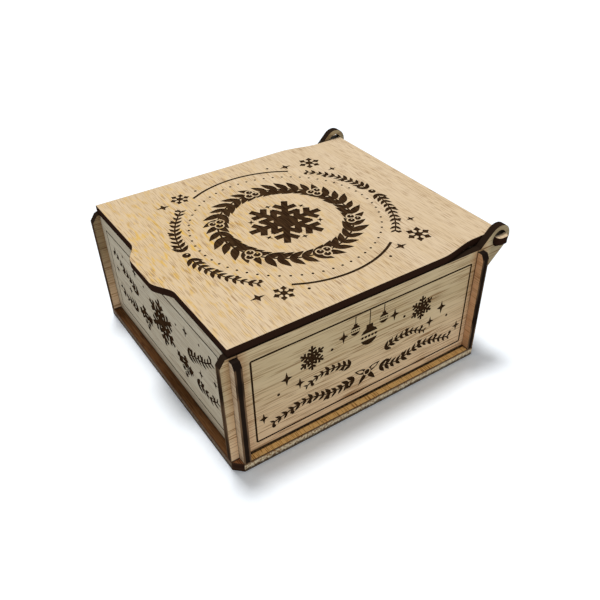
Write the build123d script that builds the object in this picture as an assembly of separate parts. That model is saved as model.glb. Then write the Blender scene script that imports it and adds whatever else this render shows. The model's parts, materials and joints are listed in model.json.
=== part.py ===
"""Hinged gift box of six laser-cut plywood panels.

Millimetres, +Z up. The front, with the lid's thumb lip, faces -Y and the hinge is at +Y.
The origin is the centre of the base panel's underside.
"""
import os
from math import cos, hypot, radians, sin

from build123d import *

# Sheet and box
PLY = 3.0                # thickness of the sheet that the walls and the lid are cut from
BASE_PLY = 4.0           # thickness of the sheet that the base is cut from
BOX_WIDTH = 110.0        # over the outer faces of the side panels
BOX_DEPTH = 110.0        # over the outer faces of the front and back panels
WALL_HEIGHT = 47.0       # from the top of the base to the rim

# Corners, where the walls cross each other
WING = 3.3               # length of each wall's end past the wall that it crosses
WING_BEVEL_RUN = 2.2     # clipped top corner of a side panel's wing, along the wall
WING_BEVEL_DROP = 3.0    # from the rim down to where every wing's clipped corner ends
END_WING_DROP = 0.9      # from the rim down to the top of a front or back panel's wing
END_BEVEL_RUN = 1.2      # clipped top corner of that wing, along the wall
LAP_HEIGHT = 23.5        # height above the base at which the two half slots meet
LAP_FIT = 0.1            # how much wider a half slot is than the sheet

# Tenons that hold the walls on the base
TENON_LENGTH = 14.0
TENON_INSET = 27.0       # from a wall's outer corner to the middle of the tenon
TENON_FIT = 0.1          # how much larger a mortise is than its tenon, each way

# Lid
LID_GAP = 0.1            # between the rim and the closed lid
LID_SIDE_INSET = 0.4     # lid edge inside the side panels' outer faces
LID_FRONT_INSET = 0.1    # lid edge inside the front panel's outer face
LIP_REACH = 4.7          # thumb lip, out from the lid's front edge
LIP_TIP_WIDTH = 15.6     # straight stretch of the lip
LIP_ROOT_WIDTH = 37.6    # lip with both of its curved shoulders
WAIST_LENGTH = 18.5      # curve along each side, where the lid narrows to pass between the ears
WAIST_TO_AXIS = 10.2     # from the end of that curve back to the hinge axis
EAR_SIDE_CLEARANCE = 0.45  # between the narrowed lid and each ear's inner face

# Hinge: tabs on the lid turn in holes in the side panels' ears
HINGE_SETBACK = 7.7      # axis behind the back panel's outer face
TAB_WIDTH = 5.7
TAB_PROUD = 2.6          # tab end past the ear's outer face
TAB_CORNER_RADIUS = 1.9
TAB_FIT = 0.1            # between the tab's edges and the hole
EAR_RIM = 2.15           # wood left round the hole
EAR_SLOPE = 45.0         # degrees that the ear leans back from upright

# Places that follow from the sizes above
HALF_WIDTH = BOX_WIDTH / 2
HALF_DEPTH = BOX_DEPTH / 2
BASE_TOP = BASE_PLY
RIM = BASE_TOP + WALL_HEIGHT
END_WING_TOP = RIM - END_WING_DROP
LAP_TOP = BASE_TOP + LAP_HEIGHT
LID_BOTTOM = RIM + LID_GAP
HINGE_Y = HALF_DEPTH + HINGE_SETBACK
HINGE_Z = LID_BOTTOM + PLY / 2
HOLE_RADIUS = hypot(TAB_WIDTH, PLY) / 2 + TAB_FIT
EAR_RADIUS = HOLE_RADIUS + EAR_RIM


def block(low, high):
    """Rectangle in a panel's own plane between two corners."""
    width, height = high[0] - low[0], high[1] - low[1]
    return Pos((low[0] + high[0]) / 2, (low[1] + high[1]) / 2) * Rectangle(width, height)


def tenons(half_length):
    """The two tenons below a wall, as deep as the base is thick."""
    middle = half_length - TENON_INSET
    return [
        block((x - TENON_LENGTH / 2, 0), (x + TENON_LENGTH / 2, BASE_TOP))
        for x in (-middle, middle)
    ]


def half_slots(half_length, bottom, top):
    """The two slots near a wall's ends, each centred on the wall that crosses there."""
    middle = half_length - PLY / 2
    reach = (PLY + LAP_FIT) / 2
    return [block((x - reach, bottom), (x + reach, top)) for x in (-middle, middle)]


def end_wall():
    """Front or back wall, drawn as X and Z: half slots open upwards, wings a little low and clipped."""
    end = HALF_WIDTH + WING
    slot = HALF_WIDTH - PLY / 2
    wall = make_face(Polyline(
        (-end, BASE_TOP),
        (end, BASE_TOP),
        (end, RIM - WING_BEVEL_DROP),
        (end - END_BEVEL_RUN, END_WING_TOP),
        (slot, END_WING_TOP),
        (slot, RIM),
        (-slot, RIM),
        (-slot, END_WING_TOP),
        (END_BEVEL_RUN - end, END_WING_TOP),
        (-end, RIM - WING_BEVEL_DROP),
        close=True,
    ))
    return wall + tenons(HALF_WIDTH) - half_slots(HALF_WIDTH, LAP_TOP, RIM)


def side_wall():
    """Side wall, drawn as Y and Z: half slots open downwards, a hinge ear leaning off the rear top."""
    end = HALF_DEPTH + WING
    back, up = sin(radians(EAR_SLOPE)), cos(radians(EAR_SLOPE))
    ear_top = (HINGE_Y - EAR_RADIUS * up, HINGE_Z + EAR_RADIUS * back)
    ear_tip = (HINGE_Y + EAR_RADIUS * back, HINGE_Z + EAR_RADIUS * up)
    ear_under = (HINGE_Y + EAR_RADIUS * up, HINGE_Z - EAR_RADIUS * back)
    ear_start = (ear_top[0] - (ear_top[1] - RIM) * back / up, RIM)
    ear_foot = (end, ear_under[1] - (ear_under[0] - end) * up / back)
    outline = [
        Polyline(
            ear_foot,
            (end, BASE_TOP),
            (-end, BASE_TOP),
            (-end, RIM - WING_BEVEL_DROP),
            (WING_BEVEL_RUN - end, RIM),
            ear_start,
            ear_top,
        ),
        ThreePointArc(ear_top, ear_tip, ear_under),
        Line(ear_under, ear_foot),
    ]
    hole = Pos(HINGE_Y, HINGE_Z) * Circle(HOLE_RADIUS)
    return make_face(outline) + tenons(HALF_DEPTH) - half_slots(HALF_DEPTH, BASE_TOP, LAP_TOP) - hole


def base():
    """Floor, as wide as the wings reach, with clipped corners and a mortise for each tenon."""
    plate = Rectangle(BOX_WIDTH + 2 * WING, BOX_DEPTH + 2 * WING)
    plate = chamfer(plate.vertices(), WING)
    length, width = TENON_LENGTH + TENON_FIT, PLY + TENON_FIT
    for x in (-1, 1):
        for y in (-1, 1):
            under_end_wall = Pos(x * (HALF_WIDTH - TENON_INSET), y * (HALF_DEPTH - PLY / 2))
            under_side_wall = Pos(x * (HALF_WIDTH - PLY / 2), y * (HALF_DEPTH - TENON_INSET))
            plate -= under_end_wall * Rectangle(length, width)
            plate -= under_side_wall * Rectangle(width, length)
    return plate


def s_curve(start, end, along):
    """Curve that leaves start and reaches end along the same axis, X or Y."""
    third = (Vector(*end) - Vector(*start)) / 3
    step = Vector(third.X, 0) if along == "X" else Vector(0, third.Y)
    return Bezier(start, Vector(*start) + step, Vector(*end) - step, end)


def lid():
    """Lid, drawn as X and Y: thumb lip in front, narrowed between the ears, a tab at each rear corner."""
    side = HALF_WIDTH - LID_SIDE_INSET
    waist = HALF_WIDTH - PLY - EAR_SIDE_CLEARANCE
    front = LID_FRONT_INSET - HALF_DEPTH
    back = HINGE_Y + TAB_WIDTH / 2
    lip_tip = (LIP_TIP_WIDTH / 2, front - LIP_REACH)
    lip_root = (LIP_ROOT_WIDTH / 2, front)
    waist_end = (waist, HINGE_Y - WAIST_TO_AXIS)
    waist_start = (side, waist_end[1] - WAIST_LENGTH)
    right_half = Curve() + [
        Line((0, lip_tip[1]), lip_tip),
        s_curve(lip_tip, lip_root, "X"),
        Polyline(lip_root, (side, front), waist_start),
        s_curve(waist_start, waist_end, "Y"),
        Polyline(waist_end, (waist, back), (0, back)),
    ]
    plate = make_face(right_half + mirror(right_half, Plane.YZ))
    tab_span = 2 * (HALF_WIDTH + TAB_PROUD)
    return plate + Pos(0, HINGE_Y) * RectangleRounded(tab_span, TAB_WIDTH, TAB_CORNER_RADIUS)


def panel(outline, plane, thickness=PLY):
    """Cut an outline from the sheet: the plane is the panel's lower or rear-facing side."""
    return extrude(plane * outline, amount=thickness)


# Planes whose normals point along -Y, +X and +Z
front_back = Plane.XZ
left_right = Plane.YZ
level = Plane.XY

panels = {
    "base_panel": panel(base(), level, BASE_PLY),
    "front_panel": panel(end_wall(), front_back.offset(HALF_DEPTH - PLY)),
    "back_panel": panel(end_wall(), front_back.offset(-HALF_DEPTH)),
    "left_side_panel": panel(side_wall(), left_right.offset(-HALF_WIDTH)),
    "right_side_panel": panel(side_wall(), left_right.offset(HALF_WIDTH - PLY)),
    "lid_panel": panel(lid(), level.offset(LID_BOTTOM)),
}

os.makedirs("parts", exist_ok=True)
for name, solid in panels.items():
    export_step(solid, f"parts/{name}.step")
    size = solid.bounding_box().size
    print(f"{name}: {size.X:.2f} x {size.Y:.2f} x {size.Z:.2f} mm, {solid.volume:.0f} mm3")
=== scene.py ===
# %% [markdown]
# # A laser-engraved gift box
# The real object is a small hinged box of plywood panels cut by laser, 3 mm thick, on a base of 4 mm.
# Four walls interlock and stand on the base, and the lid's tabs turn in the ears of the side walls.
# The panels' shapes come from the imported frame. This lesson gives them what the laser and the wood
# give the eye: engraved pockets, burnt edges, a sawn base edge, grain and smoke stains. The frame
# loads first, because every place below is worked out from it.

# %% Load the frame
import json
from math import cos, pi, radians, sin, tau

import bmesh
import bpy
from mathutils import Matrix, Vector
from mathutils.bvhtree import BVHTree
from mathutils.geometry import area_tri, delaunay_2d_cdt


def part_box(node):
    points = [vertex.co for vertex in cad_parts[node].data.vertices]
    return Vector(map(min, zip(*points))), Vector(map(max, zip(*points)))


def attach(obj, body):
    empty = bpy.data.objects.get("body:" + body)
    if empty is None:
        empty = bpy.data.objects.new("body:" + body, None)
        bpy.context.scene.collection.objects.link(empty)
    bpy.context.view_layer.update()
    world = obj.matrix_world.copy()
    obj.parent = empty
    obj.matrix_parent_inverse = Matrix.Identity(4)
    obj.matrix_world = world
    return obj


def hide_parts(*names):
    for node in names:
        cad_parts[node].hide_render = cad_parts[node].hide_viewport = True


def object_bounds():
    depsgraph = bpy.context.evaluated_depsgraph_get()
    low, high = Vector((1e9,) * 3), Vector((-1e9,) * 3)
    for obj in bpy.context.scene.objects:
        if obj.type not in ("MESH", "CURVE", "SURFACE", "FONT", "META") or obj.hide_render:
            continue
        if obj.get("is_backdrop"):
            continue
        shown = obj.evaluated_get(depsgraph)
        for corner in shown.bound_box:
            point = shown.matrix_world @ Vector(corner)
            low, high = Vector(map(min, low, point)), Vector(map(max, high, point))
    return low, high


MM = 0.001
scene = bpy.context.scene
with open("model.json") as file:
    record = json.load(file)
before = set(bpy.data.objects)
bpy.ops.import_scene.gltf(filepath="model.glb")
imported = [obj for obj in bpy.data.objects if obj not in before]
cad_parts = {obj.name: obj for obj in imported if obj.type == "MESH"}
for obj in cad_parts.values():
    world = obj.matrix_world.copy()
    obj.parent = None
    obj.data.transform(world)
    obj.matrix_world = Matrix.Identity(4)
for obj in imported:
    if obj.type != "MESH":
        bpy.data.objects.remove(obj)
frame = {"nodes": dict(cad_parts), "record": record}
cad_low, cad_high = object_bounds()
print("CAD box, mm:", [round(x / MM, 2) for x in (*cad_low, *cad_high)])

# %% Places on the box, in mm
lid_low, lid_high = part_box("lid_panel")
sheet = (lid_high.z - lid_low.z) / MM          # thickness of the walls and the lid
lid_bottom = lid_low.z / MM
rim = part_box("front_panel")[1].z / MM          # top of the walls
base_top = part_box("base_panel")[1].z / MM      # foot of the walls
wall_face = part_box("right_side_panel")[1].x / MM
wall_inside = wall_face - sheet
base_edge = cad_high.x / MM                    # the walls' free ends reach as far
wing = (wall_face + base_edge) / 2             # middle of a wall's free end
hinge = frame["record"]["behaviour"]["joints"][0]["pos_m"][1] / MM
print("walls from", round(base_top, 1), "to", round(rim, 1), "mm up, hinge", round(hinge, 1), "mm back")

# %% [markdown]
# ## Camera
# The box was photographed from above its front right corner. A camera could be placed by eye, but
# then every edge would sit a little wrong and colours could not be compared side by side. So its
# place, tilt and lens were fitted to the box's own corners. The shift is there because the picture
# was cropped: the middle of the lens isn't the middle of the picture.

# %% Camera at the photograph's view
CAMERA_PLACE = (198.41, -120.39, 189.0)   # mm
CAMERA_AZIMUTH = 55.068                   # degrees round from the front, towards the right side
CAMERA_ELEVATION = 40.55                  # degrees that it looks down
view = bpy.data.cameras.new("camera")
view.sensor_width = 36.0
view.lens = 40.582
view.shift_x = -0.0346
view.shift_y = 0.0758
view.clip_start = 10 * MM
camera = bpy.data.objects.new("camera", view)
camera.location = Vector(CAMERA_PLACE) * MM
camera.rotation_euler = (radians(90 - CAMERA_ELEVATION), 0, radians(CAMERA_AZIMUTH))
scene.collection.objects.link(camera)
scene.camera = camera
print("camera stands", round(camera.location.length / MM), "mm from the box")

# %% [markdown]
# ## Two helpers for node trees
# Colours are picked on a screen, so they are sRGB values, and one function turns them to the linear
# values that a renderer adds up. Materials and Geometry Nodes are both trees of nodes, so one small
# function adds a node to either kind: it sets the node's options, then sets or links its inputs.

# %% Colour and node helpers
def linear(code):
    """An sRGB hex colour as linear red, green, blue and alpha."""
    channels = [int(code[i:i + 2], 16) / 255 for i in (1, 3, 5)]
    return [c / 12.92 if c <= 0.04045 else ((c + 0.055) / 1.055) ** 2.4 for c in channels] + [1.0]


def add_node(tree, kind, inputs=None, **settings):
    """Add a node. An input is a value, another node (its first output) or one of its sockets."""
    node = tree.nodes.new(kind)
    for name, value in settings.items():
        setattr(node, name, value)
    for name, value in (inputs or {}).items():
        if isinstance(value, bpy.types.Node):
            value = value.outputs[0]
        if isinstance(value, bpy.types.NodeSocket):
            tree.links.new(value, node.inputs[name])
        else:
            node.inputs[name].default_value = value
    return node


print("mid beige in linear light:", [round(c, 3) for c in linear("#D9BF95")])

# %% [markdown]
# ## The face veneer
# Laser plywood has a thin face of a pale, even wood such as basswood, sanded and left bare. The eye
# sees three things at different sizes: soft bands of tone along the grain, fine fibres, and short
# brown pores. An image could hold them, but noise that is stretched along the grain never repeats
# and can be scaled from real sizes. Real pores are about 0.2 mm wide, too fine for the picture, so
# they are drawn from noise of 0.33 mm. Heat and smoke from the laser leave marks of their own: brown
# scorch near a cut, and yellow patches where smoke settled. Pores are the last thing on top, because
# they show through every stain.

# %% Bare wood to start from
COLOR_A, COLOR_B, COLOR_OUT = 6, 7, 2    # the colour sockets of a Mix node
WOOD_IOR = 1.45


def stretch(grain, length, width):
    """Scale of a pattern that is length mm long along the grain axis and width mm across it."""
    return [1 / ((length if axis == grain else width) * MM) for axis in "XYZ"]


def start_finish(name, roughness, shine):
    """A new material, with its node tree, its shader and the surface's own place in metres."""
    material = bpy.data.materials.new(name)
    material.use_nodes = True
    tree = material.node_tree
    shader = tree.nodes["Principled BSDF"]
    shader.inputs["Roughness"].default_value = roughness
    shader.inputs["IOR"].default_value = WOOD_IOR
    shader.inputs["Specular IOR Level"].default_value = shine
    place = add_node(tree, "ShaderNodeTexCoord").outputs["Object"]
    return material, tree, shader, place


print("a pattern 6 by 0.5 mm along x has the scale", [round(s) for s in stretch("X", 6, 0.5)])

# %% Sanded basswood veneer, with burns, smoke, painted shade and painted light
PORE_TINT = "#A0805A"                    # what is left of the light where a pore is
SMOKE_TINT = "#E0B242"
SMOKE_FULL, SMOKE_END = 12, 85           # mm from the heart of the smoke to where it thins and ends


def veneer(name, grain, pale, deep, pore_length, pore_depth, smoke_heart, smoke, burns_and_painted_light):
    """Bare sanded veneer with its grain along an axis, smoke round a point, and burn marks, painted shade
    and painted light along the edges.

    Each mark is how much a distance counts along x, y and z, its middle, how far it stays full and then
    fades, all in mm, its strength and its colour. Both sides of the box get them alike.
    """
    material, tree, shader, place = start_finish(name, 0.65, 0.12)
    layers = {}
    for layer, length, width, detail in (
        ("bands", 90, 6, 2),
        ("fibres", 5 * pore_length, 0.6, 2),
        ("pores", pore_length, 0.33, 0),
        ("clusters", 30, 9, 2),
        ("smoke", 6, 1.5, 3),
    ):
        where = add_node(tree, "ShaderNodeMapping", {
            "Vector": place, "Scale": stretch(grain, length, width)})
        layers[layer] = add_node(tree, "ShaderNodeTexNoise", {
            "Vector": where, "Scale": 1, "Detail": detail})
    shares = {}
    for share, layer, low, high, least, most in (
        ("banded", "bands", 0.3, 0.7, 0.0, 0.55),
        ("fibrous", "fibres", 0.4, 0.7, 0.0, 0.35),
        ("patchy_scorch_and_shade", "fibres", 0.35, 0.65, 0.85, 1.0),
        ("porous", "pores", 0.55, 0.65, 0.0, pore_depth),
        ("clustered", "clusters", 0.35, 0.65, 0.4, 1.0),
        ("smoky", "smoke", 0.52, 0.66, 0.16, 1.0),
    ):
        shares[share] = add_node(tree, "ShaderNodeMapRange", {
            "Value": layers[layer], "From Min": low, "From Max": high, "To Min": least, "To Max": most})

    away = add_node(tree, "ShaderNodeVectorMath", {
        0: place, 1: [x * MM for x in smoke_heart]}, operation="DISTANCE")
    zone = add_node(tree, "ShaderNodeMapRange", {
        "Value": away.outputs["Value"], "From Min": SMOKE_FULL * MM, "From Max": SMOKE_END * MM,
        "To Min": smoke, "To Max": 0.05 * smoke})
    settled = add_node(tree, "ShaderNodeMath", {0: shares["smoky"], 1: zone}, operation="MULTIPLY")
    stains = [(shares["banded"], deep), (shares["fibrous"], deep), (settled, SMOKE_TINT)]

    both_sides = add_node(tree, "ShaderNodeVectorMath", {0: place}, operation="ABSOLUTE")
    # Some of these marks are painted shade and painted light, not burns, as the lists below say.
    for weights, middle, full, fade, strength, colour in burns_and_painted_light:
        off = add_node(tree, "ShaderNodeVectorMath", {
            0: both_sides, 1: [x * MM for x in middle]}, operation="SUBTRACT")
        off = add_node(tree, "ShaderNodeVectorMath", {0: off, 1: weights}, operation="MULTIPLY")
        away = add_node(tree, "ShaderNodeVectorMath", {0: off}, operation="LENGTH")
        heat_and_shade = add_node(tree, "ShaderNodeMapRange", {
            "Value": away.outputs["Value"], "From Min": (full + fade) * MM, "From Max": full * MM,
            "To Max": strength})
        patchy = add_node(tree, "ShaderNodeMath", {0: heat_and_shade, 1: shares["patchy_scorch_and_shade"]}, operation="MULTIPLY")
        stains.append((patchy, colour))

    wood = linear(pale)
    for share, colour in stains:
        stained = add_node(tree, "ShaderNodeMix", {
            "Factor": share, COLOR_A: wood, COLOR_B: linear(colour)}, data_type="RGBA")
        wood = stained.outputs[COLOR_OUT]
    flecks = add_node(tree, "ShaderNodeMath", {
        0: shares["porous"], 1: shares["clustered"]}, operation="MULTIPLY")
    flecked = add_node(tree, "ShaderNodeMix", {
        "Factor": flecks, COLOR_A: wood, COLOR_B: linear(PORE_TINT)},
        data_type="RGBA", blend_type="MULTIPLY")
    tree.links.new(flecked.outputs[COLOR_OUT], shader.inputs["Base Color"])

    hollows = add_node(tree, "ShaderNodeMath", {0: 1.0, 1: shares["porous"]}, operation="SUBTRACT")
    relief = add_node(tree, "ShaderNodeBump", {
        "Strength": 0.25, "Distance": 0.05 * MM, "Height": hollows})
    tree.links.new(relief.outputs["Normal"], shader.inputs["Normal"])
    return material


# %% The four veneers
UPRIGHT, ALONG_X, ALONG_Y = (0, 0, 1), (1, 0, 0), (0, 1, 0)
# Char and painted shade along the foot of the walls
soot_and_shade_at_foot = (UPRIGHT, (0, 0, base_top), 0.5, 0.2, 1.0, "#1C130D")
# The lid's only mark is painted shade on its tabs inside the ears' holes
lid_veneer = veneer(
    "basswood_veneer_lid", "X", "#E0CAAB", "#D0B58D", 6.0, 0.6, (-5, -42, 54), 0.8,
    [((1, 0.45, 0), (wall_face - sheet / 2, hinge, 0), 1.5, 0.3, 1.0, "#140E0A")])
side_veneer = veneer(
    "basswood_veneer_sides", "Y", "#E6D2AA", "#CAB286", 12.0, 0.85, (0, 0, 0), 0.3, [
        (ALONG_Y, (0, wall_face - 2, 0), 1.0, 4.0, 0.6, "#B67E48"),  # scorch beside the end walls
        (ALONG_Y, (0, wall_inside, 0), 0.25, 0.2, 0.8, "#4A2E18"),  # painted shade in the joint where they meet
        (ALONG_Y, (0, hinge + 2.3, 0), 5.5, 2.5, 0.5, "#6B6750"),  # ears darker and greener
        ((1, 0.5, 0), (wall_inside, wing, 0), 1.2, 1.0, 0.7, "#6E5638"),  # scorch and painted shade on the inner faces of the wings
        (UPRIGHT, (0, 0, base_top), 4.0, 28.0, 0.85, "#FFDDB4"),  # painted warm light bounced from the base, low down
        soot_and_shade_at_foot,
    ])
# The ends' pale and deep colours are greyer than the sides': painted cool light on the front and back faces.
cool_lit_end_veneer = veneer(
    "basswood_veneer_ends_painted_cool_light", "X", "#D2CAB5", "#BCB097", 10.0, 0.6, (0, 0, 0), 0.15, [
        (ALONG_X, (wing, 0, 0), 1.8, 4.5, 0.5, "#E0BE98"),  # warmer wings
        ((0.5, 1, 0), (wing, wall_inside, 0), 1.2, 1.0, 0.7, "#DCA06A"),  # their inner faces
        ((1, 0, 1), (wall_inside, 0, rim), 1.0, 0.8, 0.9, "#1C130D"),  # soot and painted shade under the lid where a slot meets the rim
        (UPRIGHT, (0, 0, base_top), 1.0, 6.0, 0.45, "#7E6246"),  # darker and browner towards the base
        soot_and_shade_at_foot,
    ])
base_veneer = veneer(
    "basswood_veneer_base", "X", "#DDC08F", "#C9A36A", 5.0, 0.9, (0, 0, 0), 0.1, [
        ((1, 0, 1), (wall_face + 2, 0, base_top + 3), 4.0, 1.5, 0.85, "#FFD084"),  # painted warm light making the side ledges golden
        ((1, 0, 1), (wall_face, 0, base_top), 0.6, 0.3, 1.0, "#1E0F04"),  # char and painted shade at the side walls' foot
        ((0, 1, 1), (0, wall_face + 2, base_top + 3), 4.0, 1.5, 1.1, "#613D1C"),  # brown smoke and painted shade on the end ledges
        ((1, 1, 0), (base_edge - 2, base_edge - 2, 0), 1.6, 0.6, 0.9, "#B47C54"),  # painted shade in the clipped corners between the wings
    ])
print("veneers:", [m.name for m in (lid_veneer, side_veneer, cool_lit_end_veneer, base_veneer)])

# %% [markdown]
# ## Cut edges, sawn edges and engraved char
# A laser burns its way through the sheet, so a cut edge is charred nearly black and shows faint
# upright streaks from the pulses. The two face plies burn less than the glued core, so a lighter
# brown line can show along both rims, but not near the lid, where smoke has blackened everything.
# The streaks run through the sheet, along a different axis on each kind of panel, so there is one
# edge finish for each axis. The base keeps the saw's edge, pale at the sides and darker grey at the
# ends, the grey being painted shade: torn fibres under a brown line, over ragged dark ply with painted
# contact shade. The depth in the sheet comes from an attribute that the panels carry. The engraving
# is the same char, browner, because the beam only passed quickly over it.

# %% Laser-cut edge
SOOT_REACH, SOOT_FADE = 2.8, 0.6         # mm below the rim that soot is full, and then fades
RIM_LINE_TINT = "#8A6E54"


def cut_edge(name, through, black, brown, rim_share):
    """Charred edge: streaks run along the axis that goes through the sheet."""
    material, tree, shader, place = start_finish(name, 0.6, 0.0)
    layers = {}
    for layer, width in (("streaks", 0.7), ("patches", 14)):
        where = add_node(tree, "ShaderNodeMapping", {
            "Vector": place, "Scale": stretch(through, 30, width)})
        layers[layer] = add_node(tree, "ShaderNodeTexNoise", {"Vector": where, "Scale": 1, "Detail": 2})
    height = add_node(tree, "ShaderNodeSeparateXYZ", {"Vector": place}).outputs["Z"]
    clean = add_node(tree, "ShaderNodeMapRange", {
        "Value": height, "From Min": (rim - SOOT_REACH) * MM,
        "From Max": (rim - SOOT_REACH - SOOT_FADE) * MM})
    browned = add_node(tree, "ShaderNodeMapRange", {
        "Value": layers["patches"], "From Min": 0.35, "From Max": 0.7})
    broken = add_node(tree, "ShaderNodeMapRange", {
        "Value": layers["patches"], "From Min": 0.3, "From Max": 0.5})
    depth = add_node(tree, "ShaderNodeAttribute", attribute_name="sheet_depth").outputs["Fac"]
    from_middle = add_node(tree, "ShaderNodeMath", {0: depth, 1: sheet / 2}, operation="SUBTRACT")
    to_rim = add_node(tree, "ShaderNodeMath", {0: from_middle}, operation="ABSOLUTE")
    rim_line = add_node(tree, "ShaderNodeMapRange", {
        "Value": to_rim, "From Min": 0.7, "From Max": 1.0, "To Max": rim_share})
    rim_line = add_node(tree, "ShaderNodeMath", {0: rim_line, 1: broken}, operation="MULTIPLY")
    char = linear(black)
    for share, colour in ((browned, brown), (rim_line, RIM_LINE_TINT)):
        share = add_node(tree, "ShaderNodeMath", {0: share, 1: clean}, operation="MULTIPLY")
        lighter = add_node(tree, "ShaderNodeMix", {
            "Factor": share, COLOR_A: char, COLOR_B: linear(colour)}, data_type="RGBA")
        char = lighter.outputs[COLOR_OUT]
    tree.links.new(char, shader.inputs["Base Color"])
    relief = add_node(tree, "ShaderNodeBump", {
        "Strength": 0.4, "Distance": 0.1 * MM, "Height": layers["streaks"]})
    tree.links.new(relief.outputs["Normal"], shader.inputs["Normal"])
    return material


edges = {
    "X": cut_edge("laser_cut_edge_sides", "X", "#2C2119", "#5E4A38", 0.5),
    "Y": cut_edge("laser_cut_edge_ends", "Y", "#241C17", "#362A22", 0.9),
    "Z": cut_edge("laser_cut_edge_level", "Z", "#34221A", "#432D24", 0.1),
}
print("cut edges:", [m.name for m in edges.values()])

# %% Sawn edge of the base
TEAR = 1.0                               # mm, size of a torn fibre
TORN_STRETCH = 22                        # mm, size of the stretches that are torn more or less
RAGGED = 2.0                             # mm, how far the upper line of the dark ply and its painted contact shade wanders


def sawn_edge(name, wood_colour, torn_colour):
    """Edge of the raw sheet: torn fibres in places, a brown line along the top, ragged dark ply and painted
    contact shade below.
    """
    material, tree, shader, place = start_finish(name, 0.85, 0.2)
    torn_at = add_node(tree, "ShaderNodeMapping", {"Vector": place, "Scale": stretch("Z", TEAR, TEAR)})
    torn = add_node(tree, "ShaderNodeTexNoise", {
        "Vector": torn_at, "Scale": 1, "Detail": 4, "Roughness": 0.7})
    places_at = add_node(tree, "ShaderNodeMapping", {
        "Vector": place, "Scale": stretch("Z", TORN_STRETCH, TORN_STRETCH)})
    places = add_node(tree, "ShaderNodeTexNoise", {"Vector": places_at, "Scale": 1, "Detail": 1})
    often = add_node(tree, "ShaderNodeMapRange", {"Value": places, "From Min": 0.2, "From Max": 0.5})
    fibres = add_node(tree, "ShaderNodeMapRange", {"Value": torn, "From Min": 0.44, "From Max": 0.58})
    fibres = add_node(tree, "ShaderNodeMath", {0: fibres, 1: often}, operation="MULTIPLY")
    depth = add_node(tree, "ShaderNodeAttribute", attribute_name="sheet_depth").outputs["Fac"]
    ragged = add_node(tree, "ShaderNodeMath", {0: torn, 1: RAGGED, 2: depth}, operation="MULTIPLY_ADD")
    top_line = add_node(tree, "ShaderNodeMapRange", {
        "Value": depth, "From Min": 1.1, "From Max": 0.5, "To Max": 0.9})
    # The dark lower band is the bottom ply with painted contact shade under it.
    low_ply_and_contact_shade = add_node(tree, "ShaderNodeMapRange", {
        "Value": ragged, "From Min": 3.3, "From Max": 4.0, "To Max": 0.9})
    wood = linear(wood_colour)
    for share, colour in ((fibres, torn_colour), (top_line, "#5A3818"), (low_ply_and_contact_shade, "#3C2F23")):
        darker = add_node(tree, "ShaderNodeMix", {
            "Factor": share, COLOR_A: wood, COLOR_B: linear(colour)}, data_type="RGBA")
        wood = darker.outputs[COLOR_OUT]
    tree.links.new(wood, shader.inputs["Base Color"])
    relief = add_node(tree, "ShaderNodeBump", {"Strength": 0.8, "Distance": 0.2 * MM, "Height": torn})
    tree.links.new(relief.outputs["Normal"], shader.inputs["Normal"])
    return material


pale_edge = sawn_edge("sawn_plywood_edge_pale", "#FFF0CE", "#B08A5E")
# The ends' sawn edge is a darker grey copy of the pale one: painted shade.
shaded_grey_edge = sawn_edge("sawn_plywood_edge_painted_shade", "#7C6A56", "#473B2D")
print("sawn edges:", pale_edge.name, shaded_grey_edge.name)

# %% Engraved char
def engraved_char(name):
    """Raster-engraved pocket: matt brown char, uneven from line to line of the beam."""
    material, tree, shader, place = start_finish(name, 0.9, 0.0)
    lines_at = add_node(tree, "ShaderNodeMapping", {"Vector": place, "Scale": stretch("X", 6, 0.5)})
    lines = add_node(tree, "ShaderNodeTexNoise", {"Vector": lines_at, "Scale": 1, "Detail": 2})
    burnt = add_node(tree, "ShaderNodeMapRange", {"Value": lines, "From Min": 0.35, "From Max": 0.7})
    pocket = add_node(tree, "ShaderNodeMix", {
        "Factor": burnt, COLOR_A: linear("#2C1C11"), COLOR_B: linear("#4D3823")}, data_type="RGBA")
    tree.links.new(pocket.outputs[COLOR_OUT], shader.inputs["Base Color"])
    return material


char = engraved_char("engraved_char")
print("engraving:", char.name)

# %% [markdown]
# ## Six panels
# Each panel starts as a copy of its node's mesh, because the shape is already right. The copy is
# welded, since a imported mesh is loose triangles, and its flat triangles are joined to large faces.
# A laser leaves the rim of a cut a little rounded and burnt, which a hard edge doesn't show, so the
# rims get a bevel of a tenth of a millimetre in the edge finish. A small table says which way each
# panel faces: u and v are the directions of its drawing, and their cross product points outwards.

# %% Panels from the frame
WELD = 0.001 * MM
RIM_BEVEL = 0.12 * MM
FLAT = 0.99                              # cosine above which a face counts as one of the broad ones
PANELS = {                               # u, v, face finish, axis through the sheet, slot
    "base_panel": ((1, 0, 0), (0, 1, 0), base_veneer, "Z", "base_plywood"),
    "front_panel": ((1, 0, 0), (0, 0, 1), cool_lit_end_veneer, "Y", "wall_plywood"),
    "back_panel": ((-1, 0, 0), (0, 0, 1), cool_lit_end_veneer, "Y", "wall_plywood"),
    "left_side_panel": ((0, -1, 0), (0, 0, 1), side_veneer, "X", "wall_plywood"),
    "right_side_panel": ((0, 1, 0), (0, 0, 1), side_veneer, "X", "wall_plywood"),
    "lid_panel": ((1, 0, 0), (0, 1, 0), lid_veneer, "Z", "lid_plywood"),
}
FACE, EDGE, CHAR, PALE, GREY = range(5)  # material slots of every panel


def drawing_frame(node):
    """Matrix from a panel's drawing, in mm, to the panel's outer face in the box."""
    u, v = (Vector(axis) for axis in PANELS[node][:2])
    out = u.cross(v)
    low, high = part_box(node)
    reach = max(low.dot(out), high.dot(out))
    middle = 0 if node in ("base_panel", "lid_panel") else (base_top + lid_bottom) / 2 * MM
    corner = out * reach + v * middle
    return Matrix.Translation(corner) @ Matrix((u, v, out)).transposed().to_4x4() @ Matrix.Scale(MM, 4)


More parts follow.
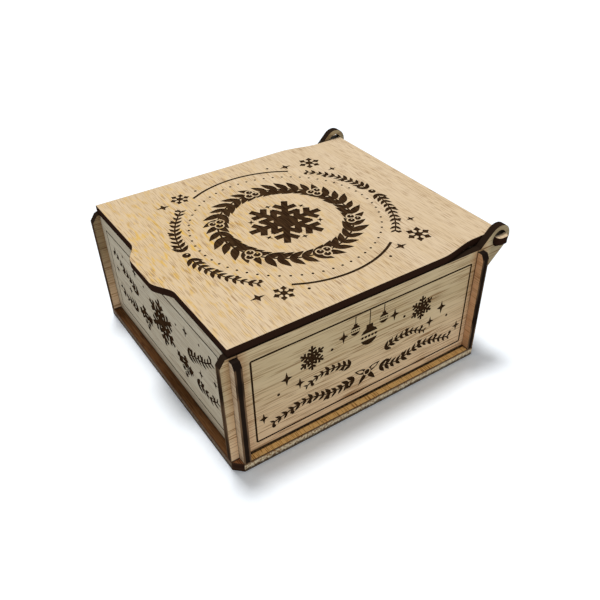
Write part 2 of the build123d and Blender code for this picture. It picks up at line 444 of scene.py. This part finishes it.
def cut_panel(node):
    """Welded copy of a node's mesh, with softened rims and its faces sorted by finish."""
    place = drawing_frame(node)
    out = place.col[2].xyz.normalized()
    panel = bmesh.new()
    panel.from_mesh(frame["nodes"][node].data)
    bmesh.ops.remove_doubles(panel, verts=panel.verts, dist=WELD)
    bmesh.ops.dissolve_limit(panel, angle_limit=radians(0.5), verts=panel.verts, edges=panel.edges)
    panel.normal_update()
    rims = [
        edge for edge in panel.edges
        if sorted(abs(face.normal.dot(out)) > FLAT for face in edge.link_faces) == [False, True]
    ]
    bmesh.ops.bevel(panel, geom=rims, offset=RIM_BEVEL, segments=2, profile=0.5, affect="EDGES")
    panel.normal_update()
    for face in panel.faces:
        broad = abs(face.normal.dot(out)) > FLAT
        face.material_index = FACE if broad else EDGE
        reach = max(abs(x) for x in face.calc_center_median().xy)
        if node == "base_panel" and reach > cad_high.x - 2 * RIM_BEVEL:
            if abs(face.normal.x) > FLAT:
                face.material_index = PALE
            elif abs(face.normal.y) > FLAT:
                face.material_index = GREY
    return panel, place


cut = {node: cut_panel(node) for node in PANELS}
for node, (panel, place) in cut.items():
    open_edges = sum(not edge.is_manifold for edge in panel.edges)
    print(node, len(panel.faces), "faces,", open_edges, "open edges")

# %% [markdown]
# ## Motifs for the engraving
# The box is decorated with a winter pattern: snowflakes, sparkles, leaves, berries and hanging
# baubles. They could be painted into the material, but a laser cuts real pockets that catch the
# light at their rims, so the motifs are flat outlines in millimetres, like the drawing that is sent
# to the machine, and a later step sinks them into the wood. A unit motif is one or a few outlines
# from a formula, one millimetre long, with its root at the origin.

# %% Unit motifs
def flat_mesh(name, outlines):
    """A flat mesh with one face for each outline of (x, y) points."""
    mesh = bpy.data.meshes.new(name)
    starts = [sum(len(o) for o in outlines[:i]) for i in range(len(outlines))]
    points = [(x, y, 0) for outline in outlines for x, y in outline]
    mesh.from_pydata(points, [], [range(s, s + len(o)) for s, o in zip(starts, outlines)])
    return mesh


def leaf(width, steps=7, root=-0.06):
    """Pointed leaf along x, widest before the middle. Its root lies behind the origin, inside a stem."""
    side = [(root + i / steps, width * sin(pi * (i / steps) ** 0.8)) for i in range(steps + 1)]
    return side + [(x, -y) for x, y in side[-2:0:-1]]


def round_spot(radius, steps=16, centre=(0, 0)):
    """Round dot."""
    turns = [tau * i / steps for i in range(steps)]
    return [(centre[0] + radius * cos(a), centre[1] + radius * sin(a)) for a in turns]


def four_point_star(width, waist):
    """Sparkle with four long points, taller than it is wide, and a narrow waist between the points."""
    reach = [waist if i % 2 else 1 for i in range(8)]
    return [(width * r * cos(i * pi / 4), r * sin(i * pi / 4)) for i, r in enumerate(reach)]


def bar(start, end, width):
    """Straight stroke between two points."""
    along = (Vector(end) - Vector(start)).normalized() * width / 2
    across = Vector((-along.y, along.x))
    return [Vector(start) - across, Vector(end) - across, Vector(end) + across, Vector(start) + across]


def snowflake_arm(width, twigs):
    """One arm along x with the stub beside it. A twig is its share of the arm's length and its own length."""
    strokes = [bar((0, 0), (1, 0), width), bar((0, 0), (0.3 * cos(pi / 6), 0.3 * sin(pi / 6)), width)]
    for share, reach in twigs:
        for side in (-1, 1):
            tip = (share + reach * cos(pi / 3), side * reach * sin(pi / 3))
            strokes.append(bar((share, 0), tip, width))
    return strokes


HOLLY_SIDE = [
    (0, 0), (0.10, 0.14), (0.24, 0.34), (0.36, 0.17), (0.52, 0.37), (0.64, 0.16), (0.79, 0.27), (0.86, 0.1)]
holly_outline = HOLLY_SIDE + [(1, 0)] + [(x, -y) for x, y in HOLLY_SIDE[:0:-1]]
kite = [(0.4, 0), (0.68, -0.31), (1, 0), (0.68, 0.31)]
berry_on_stalk = [round_spot(0.3, 12, (0.3, 0.75)), bar((0, 0), (0.25, 0.6), 0.14)]
motifs = {
    "needle": flat_mesh("needle", [leaf(0.15)]),
    "leaf": flat_mesh("leaf", [leaf(0.19)]),
    "holly": flat_mesh("holly", [holly_outline]),
    "spot": flat_mesh("spot", [round_spot(1)]),
    "side_berry": flat_mesh("side_berry", berry_on_stalk),
    "sparkle": flat_mesh("sparkle", [four_point_star(0.75, 0.35)]),
    "bold_arm": flat_mesh("bold_arm", snowflake_arm(0.16, []) + [kite]),
    "fern_arm": flat_mesh("fern_arm", snowflake_arm(0.17, [(0.33, 0.4), (0.62, 0.32)])),
}
print("motifs:", {name: len(mesh.vertices) for name, mesh in motifs.items()})

# %% [markdown]
# ## Geometry Nodes for what repeats
# Six arms make a snowflake, beads follow a ring, a border follows a rectangle and leaves follow a
# stem. Copies could be placed by a loop, but a node tree states the rule once, with named inputs that
# can be tried out by hand. Three trees are enough: a ring of copies, a pen line along a curve, and a
# garland along a curve. Each ends in real geometry with a material, and is turned into a plain mesh
# before it is used.

# %% Starting and running a tree
def start_tree(name, inputs):
    """A Geometry Nodes tree with named inputs. Returns the tree and its input sockets."""
    tree = bpy.data.node_groups.new(name, "GeometryNodeTree")
    tree.interface.new_socket("Geometry", in_out="INPUT", socket_type="NodeSocketGeometry")
    tree.interface.new_socket("Geometry", in_out="OUTPUT", socket_type="NodeSocketGeometry")
    for label, kind in inputs.items():
        tree.interface.new_socket(label, in_out="INPUT", socket_type=f"NodeSocket{kind}")
    return tree, tree.nodes.new("NodeGroupInput").outputs


def end_tree(tree, parts):
    """Join the parts, make copies real and give them the char finish."""
    joined = tree.nodes.new("GeometryNodeJoinGeometry")
    for part in parts:
        tree.links.new(part.outputs[0], joined.inputs[0])
    real = add_node(tree, "GeometryNodeRealizeInstances", {"Geometry": joined})
    finished = add_node(tree, "GeometryNodeSetMaterial", {"Geometry": real, "Material": char})
    tree.links.new(finished.outputs[0], tree.nodes.new("NodeGroupOutput").inputs[0])
    print(tree.name, "has", len(tree.nodes), "nodes")


def grow(tree, start, **sizes):
    """Run a tree on a mesh or curve, with its inputs set by name, and return a plain mesh."""
    holder = bpy.data.objects.new("drawing", start)
    scene.collection.objects.link(holder)
    modifier = holder.modifiers.new("nodes", "NODES")
    modifier.node_group = tree
    for socket in tree.interface.items_tree:
        if socket.in_out == "INPUT" and socket.name in sizes:
            modifier[socket.identifier] = sizes[socket.name]
    mesh = bpy.data.meshes.new_from_object(holder.evaluated_get(bpy.context.evaluated_depsgraph_get()))
    bpy.data.objects.remove(holder)
    return mesh


# %% A ring of copies
ring_tree, given = start_tree("ring_of_copies", {
    "Count": "Int", "Radius": "Float", "Size": "Float", "Start": "Float"})
index = add_node(ring_tree, "GeometryNodeInputIndex")
step = add_node(ring_tree, "ShaderNodeMath", {0: tau, 1: given["Count"]}, operation="DIVIDE")
turn = add_node(ring_tree, "ShaderNodeMath", {0: index, 1: step, 2: given["Start"]}, operation="MULTIPLY_ADD")
across = add_node(ring_tree, "ShaderNodeMath", {0: turn}, operation="COSINE")
up = add_node(ring_tree, "ShaderNodeMath", {0: turn}, operation="SINE")
way = add_node(ring_tree, "ShaderNodeCombineXYZ", {"X": across, "Y": up})
spot = add_node(ring_tree, "ShaderNodeVectorMath", {0: way, "Scale": given["Radius"]}, operation="SCALE")
points = add_node(ring_tree, "GeometryNodePoints", {"Count": given["Count"], "Position": spot})
facing = add_node(ring_tree, "FunctionNodeEulerToRotation", {
    "Euler": add_node(ring_tree, "ShaderNodeCombineXYZ", {"Z": turn})})
copies = add_node(ring_tree, "GeometryNodeInstanceOnPoints", {
    "Points": points, "Instance": given["Geometry"], "Rotation": facing, "Scale": given["Size"]})
end_tree(ring_tree, [copies])

# %% A pen line along a curve
pen_tree, given = start_tree("pen_line", {"Line Width": "Float"})
half = add_node(pen_tree, "ShaderNodeMath", {0: given["Line Width"], 1: 0.5}, operation="MULTIPLY")
right = add_node(pen_tree, "ShaderNodeCombineXYZ", {"X": half})
left = add_node(pen_tree, "ShaderNodeVectorMath", {0: right, "Scale": -1.0}, operation="SCALE")
nib = add_node(pen_tree, "GeometryNodeCurvePrimitiveLine", {"Start": left, "End": right})
level = add_node(pen_tree, "GeometryNodeSetCurveNormal", {"Curve": given["Geometry"]}, mode="Z_UP")
end_tree(pen_tree, [add_node(pen_tree, "GeometryNodeCurveToMesh", {"Curve": level, "Profile Curve": nib})])

# %% A garland along a curve
LEAF_SEED = 7
garland_tree, given = start_tree("garland", {
    "Leaf": "Object", "Berry": "Object", "Spacing": "Float", "Leaf Length": "Float", "Spread": "Float",
    "Tip Share": "Float", "Line Width": "Float", "Berry Every": "Int", "Berry Size": "Float"})
stem = add_node(garland_tree, "GeometryNodeGroup", node_tree=pen_tree)
for label in ("Geometry", "Line Width"):
    garland_tree.links.new(given[label], stem.inputs[label])
knots = add_node(garland_tree, "GeometryNodeResampleCurve", {
    "Curve": given["Geometry"], "Length": given["Spacing"]}, mode="LENGTH")
along = add_node(garland_tree, "FunctionNodeAlignRotationToVector", {
    "Vector": add_node(garland_tree, "GeometryNodeInputTangent")}, axis="X")
share = add_node(garland_tree, "GeometryNodeSplineParameter")
taper = add_node(garland_tree, "ShaderNodeMapRange", {
    "Value": share, "To Min": 1, "To Max": given["Tip Share"]})
wild = add_node(garland_tree, "FunctionNodeRandomValue", {
    2: 0.85, 3: 1.1, "Seed": LEAF_SEED}, data_type="FLOAT")
length = add_node(garland_tree, "ShaderNodeMath", {
    0: given["Leaf Length"], 1: wild.outputs[1]}, operation="MULTIPLY")
length = add_node(garland_tree, "ShaderNodeMath", {0: length, 1: taper}, operation="MULTIPLY")
one_leaf = add_node(garland_tree, "GeometryNodeObjectInfo", {"Object": given["Leaf"]}).outputs["Geometry"]
one_berry = add_node(garland_tree, "GeometryNodeObjectInfo", {"Object": given["Berry"]}).outputs["Geometry"]
parts = [stem]
for side in (-1, 1):
    spread = add_node(garland_tree, "ShaderNodeMath", {0: given["Spread"], 1: side}, operation="MULTIPLY")
    tilt = add_node(garland_tree, "FunctionNodeEulerToRotation", {
        "Euler": add_node(garland_tree, "ShaderNodeCombineXYZ", {"Z": spread})})
    lean = add_node(garland_tree, "FunctionNodeRotateRotation", {
        "Rotation": along, "Rotate By": tilt}, rotation_space="LOCAL")
    parts.append(add_node(garland_tree, "GeometryNodeInstanceOnPoints", {
        "Points": knots, "Instance": one_leaf, "Rotation": lean, "Scale": length}))
beat = add_node(garland_tree, "ShaderNodeMath", {
    0: add_node(garland_tree, "GeometryNodeInputIndex"), 1: given["Berry Every"]}, operation="MODULO")
picked = add_node(garland_tree, "FunctionNodeCompare", {0: beat, 1: 1.0}, operation="EQUAL")
parts.append(add_node(garland_tree, "GeometryNodeInstanceOnPoints", {
    "Points": knots, "Selection": picked, "Instance": one_berry, "Rotation": along,
    "Scale": given["Berry Size"]}))
end_tree(garland_tree, parts)

# %% [markdown]
# ## Drawing the panels
# A drawing is a list of outlines in order, each burnt or left clear, and a later one covers an
# earlier one, as paper cut-outs do. That makes it easy to leave a clear rim round a berry that lies
# on leaves. Curves for the garlands pass through a few points, with automatic handles.

# %% Pens for the drawings
BURNT, CLEAR = True, False
DOT = 0.6                                # mm, radius of a small dot


def put(drawing, mesh, at=(0, 0), size=1.0, turn=0.0, ink=BURNT):
    """Lay a flat mesh's faces on a drawing."""
    place = Matrix.Translation((*at, 0)) @ Matrix.Rotation(turn, 4, "Z") @ Matrix.Scale(size, 4)
    for face in mesh.polygons:
        outline = [(place @ mesh.vertices[i].co).xy for i in face.vertices]
        drawing.append((outline, ink))


def path(points, closed=False, handles="AUTO"):
    """A curve through a few points, smooth or with straight runs (handles VECTOR)."""
    curve = bpy.data.curves.new("path", "CURVE")
    curve.dimensions = "3D"
    line = curve.splines.new("BEZIER")
    line.bezier_points.add(len(points) - 1)
    for knot, point in zip(line.bezier_points, points):
        knot.co = (*point, 0)
        knot.handle_left_type = knot.handle_right_type = handles
    line.use_cyclic_u = closed
    return curve


def arc(radius, start, end, count=9):
    """Points on an arc about the origin, angles in degrees."""
    turns = [radians(start + (end - start) * i / (count - 1)) for i in range(count)]
    return [(radius * cos(a), radius * sin(a)) for a in turns]


stencils = {
    name: bpy.data.objects.new(f"stencil_{name}", motifs[name]) for name in ("leaf", "side_berry")}


def garland(
    points, leaf_length, spacing, spread, tip=0.6, stem=0.6, berry_every=3, berry=1.0, closed=False,
):
    """Leaves along a curve, with a berry at every so many pairs of leaves, or none for 0."""
    return grow(garland_tree, path(points, closed), **{
        "Leaf": stencils["leaf"], "Berry": stencils["side_berry"], "Spacing": spacing,
        "Leaf Length": leaf_length, "Spread": radians(spread), "Tip Share": tip, "Line Width": stem,
        "Berry Every": berry_every, "Berry Size": berry})


def snowflake(arm):
    """Six arms of a kind, one millimetre long."""
    return grow(ring_tree, motifs[arm], Count=6, Radius=0.0, Size=1.0, Start=pi / 6)


bold_flake, fern_flake = snowflake("bold_arm"), snowflake("fern_arm")
print("snowflakes:", len(bold_flake.polygons), "and", len(fern_flake.polygons), "strokes")


# %% Berries, baubles and bows
def berry(drawing, at, radius):
    """Round berry with a clear rim and a clear glint."""
    put(drawing, motifs["spot"], at, radius + 0.55, ink=CLEAR)
    put(drawing, motifs["spot"], at, radius)
    put(drawing, motifs["spot"], (at[0] - 0.35 * radius, at[1] + 0.35 * radius), 0.24 * radius, ink=CLEAR)


def bauble(drawing, x, top, drop, radius):
    """Ball on a string, with a cap and a clear band of beads round its middle."""
    middle = top - drop - radius
    string = bar((x, top), (x, middle), 0.4)
    cap = bar((x, middle + 0.9 * radius), (x, middle + 1.35 * radius), 0.75 * radius)
    band = bar((x - 0.97 * radius, middle), (x + 0.97 * radius, middle), 0.75 * radius)
    put(drawing, flat_mesh("string", [string]))
    put(drawing, motifs["spot"], (x, middle), radius)
    put(drawing, flat_mesh("cap", [cap]))
    put(drawing, flat_mesh("band", [band]), ink=CLEAR)
    for i in range(-2, 3):
        put(drawing, motifs["spot"], (x + 0.38 * i * radius, middle), 0.15 * radius)


def bow(drawing, at, size):
    """Ribbon bow: two loops with clear middles, two tails and a knot."""
    for loop, tail in ((0.4, -0.9), (pi - 0.4, pi + 0.9)):
        put(drawing, motifs["leaf"], at, size, loop)
        eye = Vector(at) + Vector((cos(loop), sin(loop))) * 0.28 * size
        put(drawing, motifs["leaf"], eye, 0.5 * size, loop, CLEAR)
        put(drawing, motifs["needle"], at, size, tail)
    put(drawing, motifs["spot"], at, 0.24 * size, ink=CLEAR)
    put(drawing, motifs["spot"], at, 0.17 * size)


# %% The lid's drawing
LID_CENTRE = Vector((0, 1.5))
WREATH_RADIUS = 26.5
RING_RADIUS = 42.8


def lid_drawing():
    """Leaf wreath round a large snowflake, in a ring of lines and garlands, with small snowflakes outside."""
    drawing, centre = [], LID_CENTRE
    circle = arc(WREATH_RADIUS, 0, 345, 24)
    put(drawing, garland(circle, 8.4, 4.6, spread=40, tip=1.0, stem=0.8, berry_every=0, closed=True), centre)
    for i in range(6):
        turn = tau * i / 6
        middle = centre + Vector((cos(turn), sin(turn))) * WREATH_RADIUS
        for k in range(3):
            lean = turn + tau * k / 3
            berry(drawing, middle + Vector((cos(lean), sin(lean))) * 1.7, 1.4)
    put(drawing, fern_flake, centre, 16.0)
    put(drawing, grow(ring_tree, motifs["sparkle"], Count=6, Radius=13.5, Size=1.8, Start=0.0), centre)
    put(drawing, grow(ring_tree, motifs["spot"], Count=60, Radius=37.5, Size=0.5, Start=0.0), centre)
    for start, end in ((-30, 34), (146, 210)):
        line = grow(pen_tree, path(arc(RING_RADIUS, start, end)), **{"Line Width": 1.1})
        put(drawing, line, centre)
    for middle in (90, 270):
        for way in (-1, 1):
            points = arc(RING_RADIUS, middle + 4 * way, middle + 44 * way)
            put(drawing, garland(points, 5.0, 2.9, spread=42, berry=2.4), centre)
        lean = radians(middle)
        berry(drawing, centre + Vector((cos(lean), sin(lean))) * RING_RADIUS, 1.6)
    for side in (-1, 1):
        put(drawing, bold_flake, (37.0 * side, 37.7), 5.0)
        put(drawing, bold_flake, (39.7 * side, -24.7), 4.1)
        for x, y, size in ((26.5, 42.7, 2.3), (39.7, 26.6, 3.0), (37.0, -33.4, 3.1)):
            put(drawing, motifs["sparkle"], (x * side, y), size)
        for x, y in ((42.8, 19.2), (42.4, -16.2)):
            put(drawing, motifs["spot"], (x * side, y), DOT)
    return drawing


# %% The walls' drawings
def wall_border(width, height, line, corner=0.4, steps=3):
    """Border line with rounded corners round a wall's drawing."""
    points = []
    for quarter, (x, y) in enumerate(((1, 1), (-1, 1), (-1, -1), (1, -1))):
        across, up = x * (width / 2 - corner), y * (height / 2 - corner)
        for i in range(steps + 1):
            turn = (quarter + i / steps) * pi / 2
            points.append((across + corner * cos(turn), up + corner * sin(turn)))
    return grow(pen_tree, path(points, closed=True, handles="VECTOR"), **{"Line Width": line})


def side_drawing(aside):
    """Three baubles between sprigs, snowflakes and sparkles, over a long garland, all a little aside."""
    drawing = []
    put(drawing, wall_border(97, 37.8, 0.75), (0.0, -0.8))
    for x, drop, radius in ((-6.4, 4.0, 2.2), (0, 7.5, 4.0), (6.4, 4.0, 2.2)):
        bauble(drawing, x, 17.6, drop, radius)
    for way in (-1, 1):
        sprig = [(way * 8, -4.0), (way * 14, -1.8), (way * 21, -1.6), (way * 27, -4.0)]
        put(drawing, garland(sprig, 3.8, 2.3, spread=46, berry=2.2))
        long = [(way * 6, -12.0), (way * 15, -13.4), (way * 27, -10.8), (way * 41, -13.8)]
        put(drawing, garland(long, 4.6, 2.6, spread=44, berry=2.6))
        put(drawing, fern_flake, (way * 24.8, 7.8), 5.5)
        for x, y, size in ((35.3, 3.6, 3.2), (30.0, -1.2, 2.7), (11.5, 10.5, 2.9), (45.2, -9.9, 2.6)):
            put(drawing, motifs["sparkle"], (way * x, y), size)
        for x, y in ((16.4, 7.5), (38.8, -1.8)):
            put(drawing, motifs["spot"], (way * x, y), DOT)
    bow(drawing, (0, -11.5), 7.0)
    return [([point + Vector((aside, 0)) for point in outline], ink) for outline, ink in drawing]


def front_drawing():
    """Holly and sprigs on both sides of a large snowflake."""
    drawing = []
    put(drawing, wall_border(94.5, 36.8, 0.6))
    put(drawing, fern_flake, (0, 1.5), 11.0)
    for way in (-1, 1):
        for points in (
            [(way * 26.5, -9.0), (way * 32, -8.2), (way * 37, -9.2), (way * 42, -6.5)],
            [(way * 22, 1.5), (way * 28, 4.5), (way * 34, 6.5), (way * 41, 11)],
        ):
            put(drawing, garland(points, 5.0, 2.8, spread=42, berry=2.8))
        for turn in (25, 75, 140):
            lean = radians(turn) if way > 0 else pi - radians(turn)
            put(drawing, motifs["holly"], (way * 17, -9), 9.0, lean, CLEAR)
            put(drawing, motifs["holly"], (way * 17, -9), 8.0, lean)
        for x, y in ((15.5, -9.5), (18.5, -9.8), (17, -12.0)):
            berry(drawing, (way * x, y), 1.3)
        for x, y, size in ((22.0, 12.0, 2.8), (31.0, -1.5, 2.4), (42.5, 2.5, 2.2)):
            put(drawing, motifs["sparkle"], (way * x, y), size)
        for x, y in ((14.0, 10.0), (33.0, 13.5)):
            put(drawing, motifs["spot"], (way * x, y), DOT)
    return drawing


def back_drawing():
    """A plain row of snowflakes and sparkles."""
    drawing = []
    put(drawing, wall_border(94.5, 36.8, 0.6))
    for i in range(-2, 3):
        flake, high, size, star_high = (
            (bold_flake, -3.0, 5.5, 13.5) if i % 2 else (fern_flake, 2.5, 7.5, -11.5))
        put(drawing, flake, (18.0 * i, high), size)
        put(drawing, motifs["sparkle"], (18.0 * i, star_high), 2.6)
    for x in (-27, -9, 9, 27):
        put(drawing, motifs["spot"], (x, 12.0), DOT)
    return drawing


SIDE_OFFSET = 1.0                        # mm, the sides are drawn a little nearer to the hinge
drawings = {
    "lid_panel": lid_drawing(),
    "front_panel": front_drawing(),
    "back_panel": back_drawing(),
    "left_side_panel": side_drawing(-SIDE_OFFSET),
    "right_side_panel": side_drawing(SIDE_OFFSET),
}
print("outlines:", {node: len(drawing) for node, drawing in drawings.items()})

# %% [markdown]
# ## Sinking the drawing into the wood
# A Boolean with hundreds of overlapping cutters is slow and can leave slivers. The face is flat, so
# the work can be done flat as well: a constrained Delaunay triangulation takes the face and all the
# outlines and cuts them where they cross. Then the outlines are stacked like paper cut-outs, each a
# step higher, and a look straight down at the middle of every triangle shows which one lies on top.
# Burnt triangles go down by the engraving's depth, and a wall closes every edge between burnt and
# clear wood, so the panel stays one closed solid.

# %% Engrave
ENGRAVE_DEPTH = 0.35                     # mm
SNAP = 1e-4                              # mm, points closer than this are one point
WHOLE_HULL = 0                           # the triangulation keeps every triangle


def engrave(panel, place, drawing):
    """Replace a panel's outer face by one with the drawing sunk into it, and return the burnt area."""
    back = place.inverted()
    out = place.col[2].xyz.normalized()
    faces = [
        face for face in panel.faces
        if face.normal.dot(out) > FLAT and abs((back @ face.calc_center_median()).z) < RIM_BEVEL / MM / 2
    ]
    stack = [([(back @ v.co).xy for v in face.verts], CLEAR) for face in faces] + drawing
    spots, loops, heights = [], [], []
    for layer, (outline, ink) in enumerate(stack):
        loops.append(range(len(spots), len(spots) + len(outline)))
        spots += outline
        heights += [layer] * len(outline)
    lines = [(i, i + 1 if i + 1 < loop.stop else loop.start) for loop in loops for i in loop]
    flat, _, triangles, _, _, _ = delaunay_2d_cdt(spots, lines, [], WHOLE_HULL, SNAP)
    cut_outs = BVHTree.FromPolygons([(*spot, height) for spot, height in zip(spots, heights)], loops)
    inked = []
    for triangle in triangles:
        middle = sum((flat[i] for i in triangle), Vector((0, 0))) / 3
        top = cut_outs.ray_cast((*middle, len(stack)), (0, 0, -1))[2]
        if top is not None:
            inked.append((triangle, stack[top][1]))
    bmesh.ops.delete(panel, geom=faces, context="FACES_ONLY")

    levels = {CLEAR: 0.0, BURNT: -ENGRAVE_DEPTH}
    corners = {}

    def corner(index, ink):
        if (index, ink) not in corners:
            corners[index, ink] = panel.verts.new(place @ Vector((*flat[index], levels[ink])))
        return corners[index, ink]

    sides = {}
    for triangle, ink in inked:
        made = panel.faces.new([corner(i, ink) for i in triangle])
        made.material_index = CHAR if ink else FACE
        for a, b in zip(triangle, triangle[1:] + triangle[:1]):
            sides[a, b] = ink
    for (a, b), ink in sides.items():
        if ink and sides.get((b, a)) == CLEAR:
            wall = [corner(a, CLEAR), corner(b, CLEAR), corner(b, BURNT), corner(a, BURNT)]
            panel.faces.new(wall).material_index = CHAR
    bmesh.ops.remove_doubles(panel, verts=panel.verts, dist=WELD)
    return sum(area_tri(*(flat[i] for i in t)) for t, ink in inked if ink)


for node, drawing in drawings.items():
    panel, place = cut[node]
    area = engrave(panel, place, drawing)
    open_edges = sum(not edge.is_manifold for edge in panel.edges)
    print(node, round(area), "mm2 engraved,", len(panel.faces), "faces,", open_edges, "open edges")

# %% [markdown]
# ## Finished panels
# Each panel becomes one object that stands for its node and rides on its body: five on the box, one
# on the lid. The depth through the sheet, in millimetres from the outer face, is stored on every
# point for the edge finishes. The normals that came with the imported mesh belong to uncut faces, so
# they are dropped: curved rims are shaded smooth, and every corner of more than 20 degrees is sharp.

# %% Pieces in place of the nodes
SHARP_CORNER = radians(20)
BODY_OF = {node: body for body, nodes in frame["record"]["behaviour"]["bodies"].items() for node in nodes}
for node, (panel, place) in cut.items():
    face_finish, through, slot = PANELS[node][2:]
    mesh = bpy.data.meshes.new(node + "_finished")
    panel.to_mesh(mesh)
    panel.free()
    for finish in (face_finish, edges[through], char, pale_edge, shaded_grey_edge):
        mesh.materials.append(finish)
    back = place.inverted()
    depth = mesh.attributes.new("sheet_depth", "FLOAT", "POINT")
    depth.data.foreach_set("value", [-(back @ vertex.co).z for vertex in mesh.vertices])
    mesh.attributes.remove(mesh.attributes["custom_normal"])
    mesh.shade_smooth()
    mesh.set_sharp_from_angle(angle=SHARP_CORNER)
    piece = bpy.data.objects.new(node + "_finished", mesh)
    scene.collection.objects.link(piece)
    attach(piece, BODY_OF[node])
    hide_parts(node)
    print(piece.name, "rides on", BODY_OF[node], "with", len(mesh.polygons), "faces")
for stencil in stencils.values():
    bpy.data.objects.remove(stencil)

# %% [markdown]
# ## Floor and light
# The box stands on white, with a soft shadow to its right. The light is a broad soft one, nearly
# overhead and a little from the back left, with an even glow from all round. The floor is a plain
# pale one for the light that bounces, and only for what the camera sees is it lifted to white, so
# that the wood isn't overlit to get there. The lift is a touch blue, because the light that the wood
# throws into its own shadow is warm, and the shadow should still look grey.

# %% White floor
FLOOR_SIZE = 6.0                         # metres
FLOOR_GAP = 0.02 * MM                    # the floor lies a hair below the base
FLOOR_LIFT = (1.075, 1.13, 1.19, 1.0)    # how much lighter than white the camera sees the floor


def seen_directly(tree):
    """One for a ray from the camera or from a mirror or glass, nought for a ray of scattered light."""
    rays = add_node(tree, "ShaderNodeLightPath").outputs
    seen = add_node(tree, "ShaderNodeMath", {
        0: rays["Is Camera Ray"], 1: rays["Is Glossy Ray"]}, operation="ADD")
    return add_node(tree, "ShaderNodeMath", {
        0: seen, 1: rays["Is Transmission Ray"]}, operation="ADD", use_clamp=True)


def white_floor(name):
    """Pale matt floor: it scatters light as it is, but the camera and mirrors see it lifted to white."""
    material = bpy.data.materials.new(name)
    material.use_nodes = True
    tree = material.node_tree
    tree.nodes.clear()
    matt = add_node(tree, "ShaderNodeBsdfDiffuse", {"Color": linear("#D8D8D8")})
    lifted = add_node(tree, "ShaderNodeBsdfDiffuse", {"Color": FLOOR_LIFT})
    mixed = add_node(tree, "ShaderNodeMixShader", {"Fac": seen_directly(tree), 1: matt, 2: lifted})
    add_node(tree, "ShaderNodeOutputMaterial", {"Surface": mixed})
    return material


floor_mesh = bpy.data.meshes.new("floor")
grid = bmesh.new()
bmesh.ops.create_grid(grid, x_segments=1, y_segments=1, size=FLOOR_SIZE / 2)
grid.to_mesh(floor_mesh)
grid.free()
floor_mesh.materials.append(white_floor("white_paper"))
floor = bpy.data.objects.new("floor", floor_mesh)
floor.location.z = cad_low.z - FLOOR_GAP
scene.collection.objects.link(floor)
floor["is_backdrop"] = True
print("floor of", FLOOR_SIZE, "m at", round(floor.location.z / MM, 2), "mm")

# %% Sun and sky
SUN_STRENGTH = 1.9
SUN_FROM = Vector((-0.25, 0.05, 1.0))    # nearly overhead, a little from the left and the back
SUN_ANGLE = 12                           # degrees across, so the shadow's rim is soft
SKY_GLOW = 0.45
sun = bpy.data.lights.new("window", "SUN")
sun.energy = SUN_STRENGTH
sun.angle = radians(SUN_ANGLE)
sun_object = bpy.data.objects.new("window", sun)
sun_object.rotation_euler = SUN_FROM.to_track_quat("Z", "Y").to_euler()
scene.collection.objects.link(sun_object)

sky = bpy.data.worlds.new("studio")
sky.use_nodes = True
strength = add_node(sky.node_tree, "ShaderNodeMapRange", {
    "Value": seen_directly(sky.node_tree), "To Min": SKY_GLOW, "To Max": 1.0})
background = sky.node_tree.nodes["Background"]
background.inputs["Color"].default_value = linear("#FFFFFF")
sky.node_tree.links.new(strength.outputs[0], background.inputs["Strength"])
scene.world = sky
scene.view_settings.view_transform = "Standard"
print("sun from", tuple(round(x, 2) for x in SUN_FROM.normalized()))

# %% [markdown]
# ## Sizes
# The finish isn't meant to change the object's size, so the boxes before and after are kept side by side.

# %% The boxes before and after the finish
seen_low, seen_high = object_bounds()
boxes = {"cad": [list(cad_low), list(cad_high)], "visual": [list(seen_low), list(seen_high)]}
for name, box in boxes.items():
    print(name, "box, mm:", [[round(x / MM, 2) for x in corner] for corner in box])
